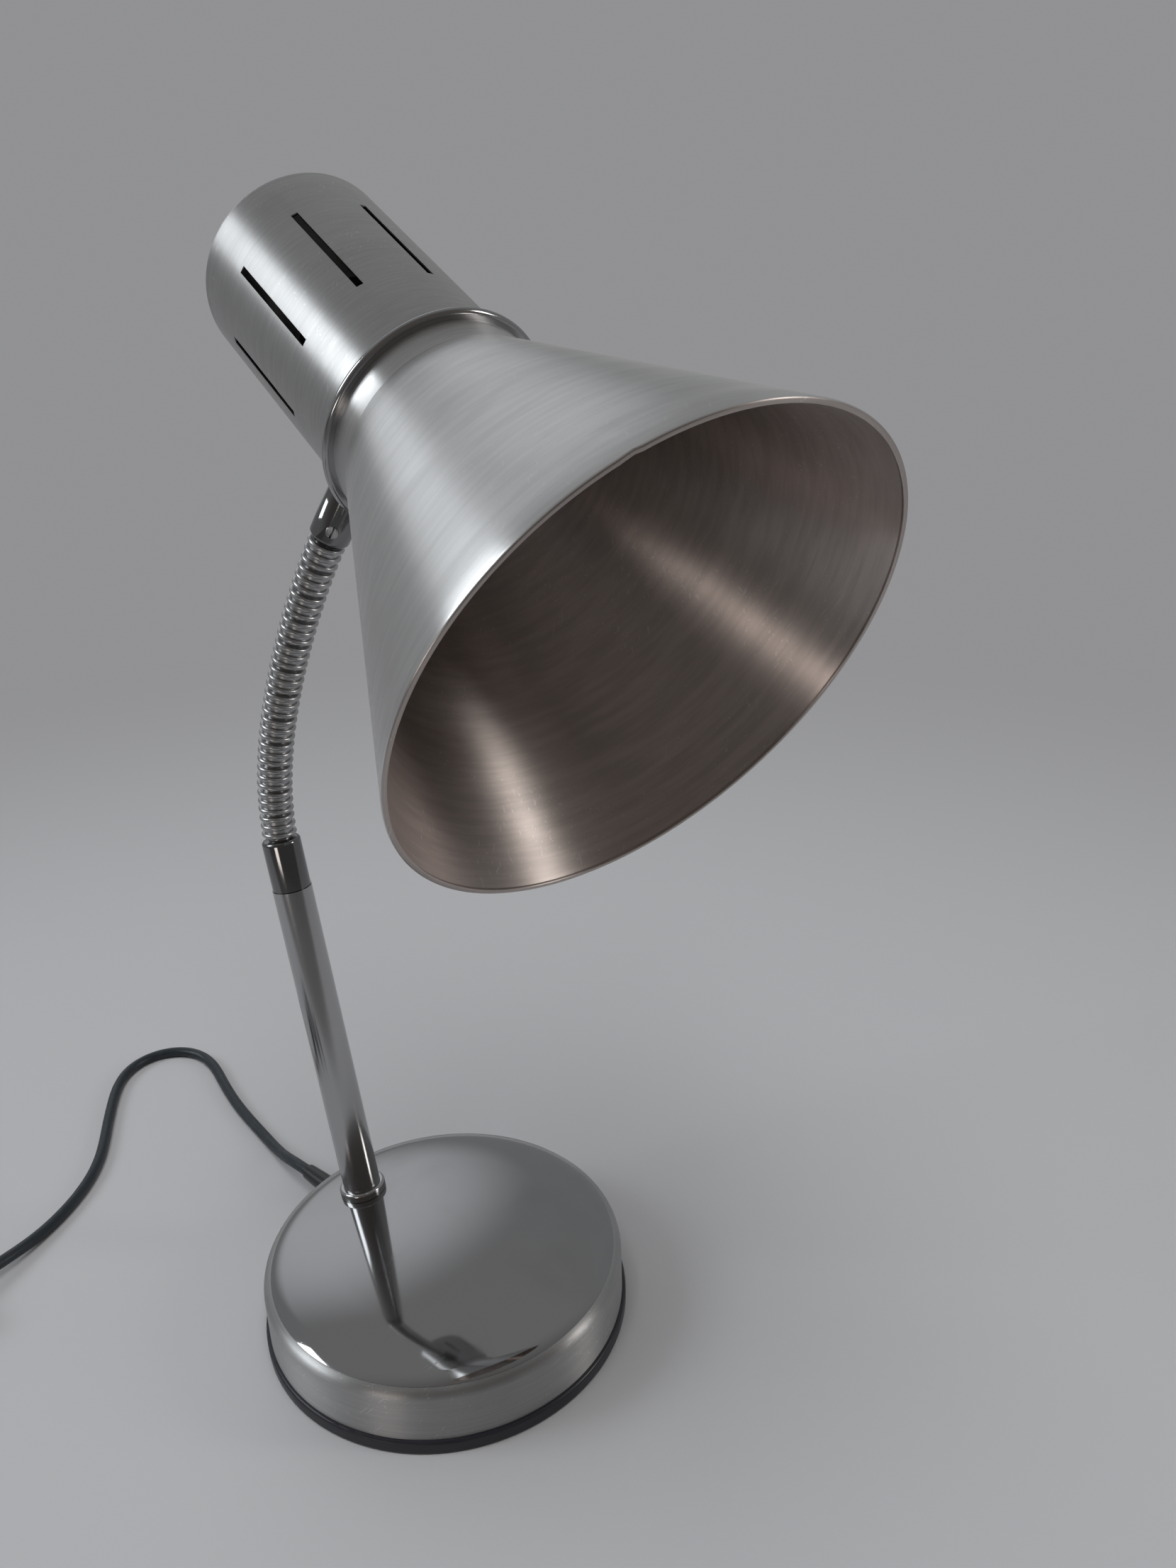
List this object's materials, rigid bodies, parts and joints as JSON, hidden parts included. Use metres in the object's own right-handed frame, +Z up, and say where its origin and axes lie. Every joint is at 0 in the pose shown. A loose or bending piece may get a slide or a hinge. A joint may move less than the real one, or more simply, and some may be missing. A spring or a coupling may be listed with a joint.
{
  "type": "gooseneck desk lamp",
  "caption": "Desk lamp with a weighted round base, a leaning pole, a flexible ribbed neck and a spun cone shade on a slotted canister.",
  "frame": {"origin": "middle of the base's underside", "axes": "+Z up; the pole stands off the middle towards +Y, the cord leaves at +Y and the shade's mouth faces -Y and down"},
  "size_m": [0.3374, 0.4252, 0.4321],
  "materials": {
    "black_pan": "satin black enamel",
    "satin_steel": "satin, brushed round the side wall",
    "polished_cover": "mirror-polished chrome",
    "neck_chrome": "polished chrome",
    "weight_iron": "as cast",
    "zinc_steel": "zinc-plated",
    "nipple_brass": "bright",
    "satin_aluminium": "satin, brushed round the axis",
    "lampholder_black": "moulded black phenolic",
    "shell_nickel": "nickel-plated brass",
    "porcelain": "glazed white porcelain",
    "cord_black": "matte black cord sheath",
    "lead_white": "pale wire sleeve",
    "switch_black": "moulded black plastic",
    "pin_nickel": "nickel-plated brass pins"
  },
  "bodies": {
    "base": {"base_pan": "black_pan", "base_skirt": "satin_steel", "base_cover": "polished_cover", "pole_collar": "polished_cover", "pole": "polished_cover", "pole_ferrule": "polished_cover", "base_weight": "weight_iron", "pan_screws": "zinc_steel", "nipple_washer": "zinc_steel", "nipple_nut": "zinc_steel", "pole_nipple": "nipple_brass", "switch_contacts": "nipple_brass", "cord_to_switch": "cord_black", "cord_to_coil": "cord_black", "cord_coil": "cord_black", "cord_to_plug": "cord_black", "cord_gland": "cord_black", "cord_stop": "cord_black", "pole_lead": "lead_white", "coil_tie": "lead_white", "switch_base": "switch_black", "switch_cover": "switch_black", "plug_body": "switch_black", "plug_pins": "pin_nickel"},
    "switch_rocker": {"switch_rocker": "switch_black"},
    "link_01": {"gooseneck_link_01": "neck_chrome"},
    "link_02": {"gooseneck_link_02": "neck_chrome"},
    "link_03": {"gooseneck_link_03": "neck_chrome"},
    "link_04": {"gooseneck_link_04": "neck_chrome"},
    "link_05": {"gooseneck_link_05": "neck_chrome"},
    "link_06": {"gooseneck_link_06": "neck_chrome"},
    "link_07": {"gooseneck_link_07": "neck_chrome"},
    "link_08": {"gooseneck_link_08": "neck_chrome"},
    "link_09": {"gooseneck_link_09": "neck_chrome"},
    "link_10": {"gooseneck_link_10": "neck_chrome"},
    "link_11": {"gooseneck_link_11": "neck_chrome"},
    "link_12": {"gooseneck_link_12": "neck_chrome"},
    "head": {"head_ferrule": "neck_chrome", "ferrule_screw": "neck_chrome", "ferrule_nut": "zinc_steel", "canister": "satin_aluminium", "trim_ring": "neck_chrome", "shade": "satin_aluminium", "bracket": "zinc_steel", "holder_body": "lampholder_black", "holder_cap": "lampholder_black", "holder_thread": "shell_nickel", "holder_disc": "porcelain", "centre_contact": "nipple_brass", "holder_nipple": "nipple_brass", "holder_nut": "zinc_steel", "head_lead": "lead_white"}
  },
  "joints": [
    {"name": "neck_bend_1", "type": "hinge", "parent": "base", "child": "link_01", "pos_m": [0, 0.07086, 0.19764], "axis": [0.977, 0.2108, -0.0308], "range_deg": [-8, 5]},
    {"name": "neck_sway_1", "type": "hinge", "parent": "link_01", "child": "link_02", "pos_m": [0.00024, 0.07125, 0.20803], "axis": [0.2104, -0.9775, -0.0147], "range_deg": [-8, 8]},
    {"name": "neck_bend_2", "type": "hinge", "parent": "link_02", "child": "link_03", "pos_m": [0.00069, 0.0707, 0.21841], "axis": [0.977, 0.2108, -0.0308], "range_deg": [-8, 5]},
    {"name": "neck_sway_2", "type": "hinge", "parent": "link_03", "child": "link_04", "pos_m": [0.0013, 0.06935, 0.2287], "axis": [0.2026, -0.9641, -0.1715], "range_deg": [-8, 8]},
    {"name": "neck_bend_3", "type": "hinge", "parent": "link_04", "child": "link_05", "pos_m": [0.00206, 0.06735, 0.23888], "axis": [0.977, 0.2108, -0.0308], "range_deg": [-8, 5]},
    {"name": "neck_sway_3", "type": "hinge", "parent": "link_05", "child": "link_06", "pos_m": [0.00293, 0.06479, 0.24893], "axis": [0.194, -0.9403, -0.2797], "range_deg": [-8, 8]},
    {"name": "neck_bend_4", "type": "hinge", "parent": "link_06", "child": "link_07", "pos_m": [0.00389, 0.06179, 0.25883], "axis": [0.977, 0.2108, -0.0308], "range_deg": [-8, 5]},
    {"name": "neck_sway_4", "type": "hinge", "parent": "link_07", "child": "link_08", "pos_m": [0.00493, 0.05839, 0.26861], "axis": [0.1863, -0.9155, -0.3567], "range_deg": [-8, 8]},
    {"name": "neck_bend_5", "type": "hinge", "parent": "link_08", "child": "link_09", "pos_m": [0.00604, 0.05466, 0.27825], "axis": [0.977, 0.2108, -0.0308], "range_deg": [-8, 5]},
    {"name": "neck_sway_5", "type": "hinge", "parent": "link_09", "child": "link_10", "pos_m": [0.00721, 0.05061, 0.28776], "axis": [0.1788, -0.89, -0.4195], "range_deg": [-8, 8]},
    {"name": "neck_bend_6", "type": "hinge", "parent": "link_10", "child": "link_11", "pos_m": [0.00845, 0.04625, 0.29712], "axis": [0.977, 0.2108, -0.0308], "range_deg": [-8, 5]},
    {"name": "neck_sway_6", "type": "hinge", "parent": "link_11", "child": "link_12", "pos_m": [0.00975, 0.04157, 0.30632], "axis": [0.17, -0.8588, -0.4833], "range_deg": [-8, 8]},
    {"name": "neck_bend_7", "type": "hinge", "parent": "link_12", "child": "head", "pos_m": [0.01111, 0.03654, 0.31532], "axis": [0.977, 0.2108, -0.0308], "range_deg": [-8, 5]},
    {"name": "switch_rock", "type": "hinge", "parent": "base", "child": "switch_rocker", "pos_m": [-0.157, 0.163, 0.0104], "axis": [0.1736, -0.9848, 0], "range_deg": [-14, 0]}
  ]
}
